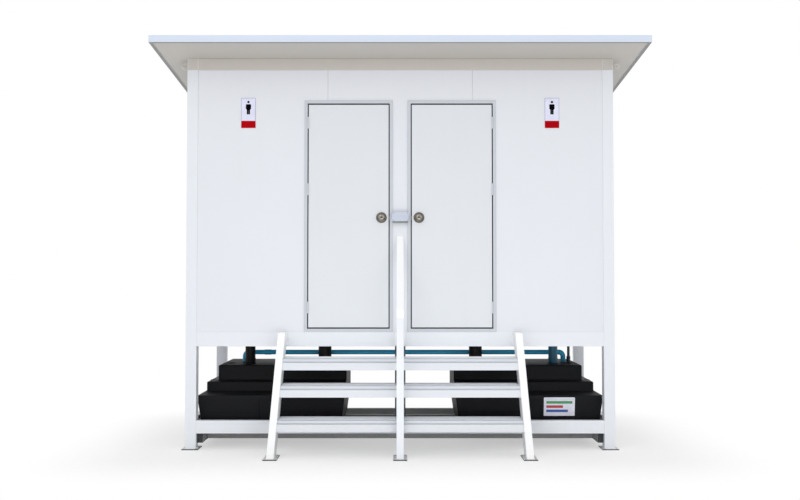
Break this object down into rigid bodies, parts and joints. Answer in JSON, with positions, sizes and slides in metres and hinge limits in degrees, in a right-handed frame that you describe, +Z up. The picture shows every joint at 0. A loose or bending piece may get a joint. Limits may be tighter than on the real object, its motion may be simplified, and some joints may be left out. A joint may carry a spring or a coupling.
{
  "type": "prefabricated toilet cabin",
  "caption": "Raised prefabricated toilet cabin with single-pitch roof, side-by-side hinged doors, steel legs, front stair with handrail and stepped waste tanks below.",
  "frame": {"origin": "centre of the bounding box at ground level", "axes": "+X to the viewer's right along the front, +Y from the stair side to the back, +Z up"},
  "size_m": [4.198, 2.22, 3.5044],
  "materials": {
    "frame_white": "satin",
    "panel_white": "satin",
    "door_white": "satin",
    "frame_grey": "satin",
    "roof_beige": "satin",
    "fascia_blue": "satin",
    "base_grey": "matt",
    "plate_grey": "matt",
    "deck_grey": "matt",
    "steel": "brushed",
    "tread_grey": "ribbed",
    "tank_black": "matt",
    "pipe_black": "matt",
    "pipe_blue": "gloss",
    "pipe_navy": "gloss",
    "box_grey": "gloss",
    "sign_white": "gloss",
    "pan_white": "glazed"
  },
  "bodies": {
    "cabin": {"post_front_left": "frame_white", "post_front_right": "frame_white", "post_rear_left": "frame_white", "post_rear_right": "frame_white", "lifting_lugs": "frame_white", "bottom_rails": "frame_white", "floor_beams": "frame_white", "floor_joists": "frame_white", "roof_ring": "frame_white", "stringer_left": "frame_white", "stringer_right": "frame_white", "stringer_middle": "frame_white", "newel_post": "frame_white", "handrail": "frame_white", "post_foot_plates": "plate_grey", "stair_foot_plates": "plate_grey", "under_frame": "base_grey", "centre_leg": "base_grey", "floor_deck": "deck_grey", "floor_drains": "steel", "frame_hinges_left": "steel", "frame_hinges_right": "steel", "hinge_pins_left": "steel", "hinge_pins_right": "steel", "panel_front_left": "panel_white", "panel_front_right": "panel_white", "panel_front_centre": "panel_white", "panels_rear": "panel_white", "panel_side_left": "panel_white", "panel_side_right": "panel_white", "partition": "panel_white", "roof_panel": "roof_beige", "roof_fascia": "fascia_blue", "door_frame_left": "frame_grey", "door_frame_right": "frame_grey", "switch_box": "box_grey", "switch_box_cover": "box_grey", "sign_left": "sign_white", "sign_right": "sign_white", "treads_left": "tread_grey", "treads_right": "tread_grey", "tank_left": "tank_black", "tank_right": "tank_black", "soil_pipes": "pipe_black", "drain_pipe_left": "pipe_black", "link_pipe": "pipe_blue", "water_pipe": "pipe_navy", "drain_pipe_right": "pipe_navy", "squat_pan_left": "pan_white", "squat_pan_right": "pan_white"},
    "door_left": {"door_leaf_left": "door_white", "leaf_hinges_left": "steel", "knob_roses_left": "steel"},
    "knob_left_body": {"knob_left": "steel"},
    "latch_left": {"latch_bolt_left": "steel"},
    "door_right": {"door_leaf_right": "door_white", "leaf_hinges_right": "steel", "knob_roses_right": "steel"},
    "knob_right_body": {"knob_right": "steel"},
    "latch_right": {"latch_bolt_right": "steel"}
  },
  "joints": [
    {"name": "door_left_hinge", "type": "hinge", "parent": "cabin", "child": "door_left", "pos_m": [-0.807, -0.599, 2], "axis": [0, 0, -1], "range_deg": [0, 110]},
    {"name": "knob_left_turn", "type": "hinge", "parent": "door_left", "child": "knob_left_body", "pos_m": [-0.164, -0.57, 2.016], "axis": [0, -1, 0], "range_deg": [0, 60], "stiffness_Nm_per_rad": 0.3},
    {"name": "latch_left_slide", "type": "slide", "parent": "door_left", "child": "latch_left", "axis": [-1, 0, 0], "range_m": [0, 0.016]},
    {"name": "door_right_hinge", "type": "hinge", "parent": "cabin", "child": "door_right", "pos_m": [0.807, -0.599, 2], "axis": [0, 0, 1], "range_deg": [0, 110]},
    {"name": "knob_right_turn", "type": "hinge", "parent": "door_right", "child": "knob_right_body", "pos_m": [0.164, -0.57, 2.016], "axis": [0, -1, 0], "range_deg": [0, 60], "stiffness_Nm_per_rad": 0.3},
    {"name": "latch_right_slide", "type": "slide", "parent": "door_right", "child": "latch_right", "axis": [1, 0, 0], "range_m": [0, 0.016]}
  ],
  "couplings": [
    {"joint": "latch_left_slide", "follows": "knob_left_turn", "m_per_rad": 0.0152},
    {"joint": "latch_right_slide", "follows": "knob_right_turn", "m_per_rad": 0.0152}
  ]
}
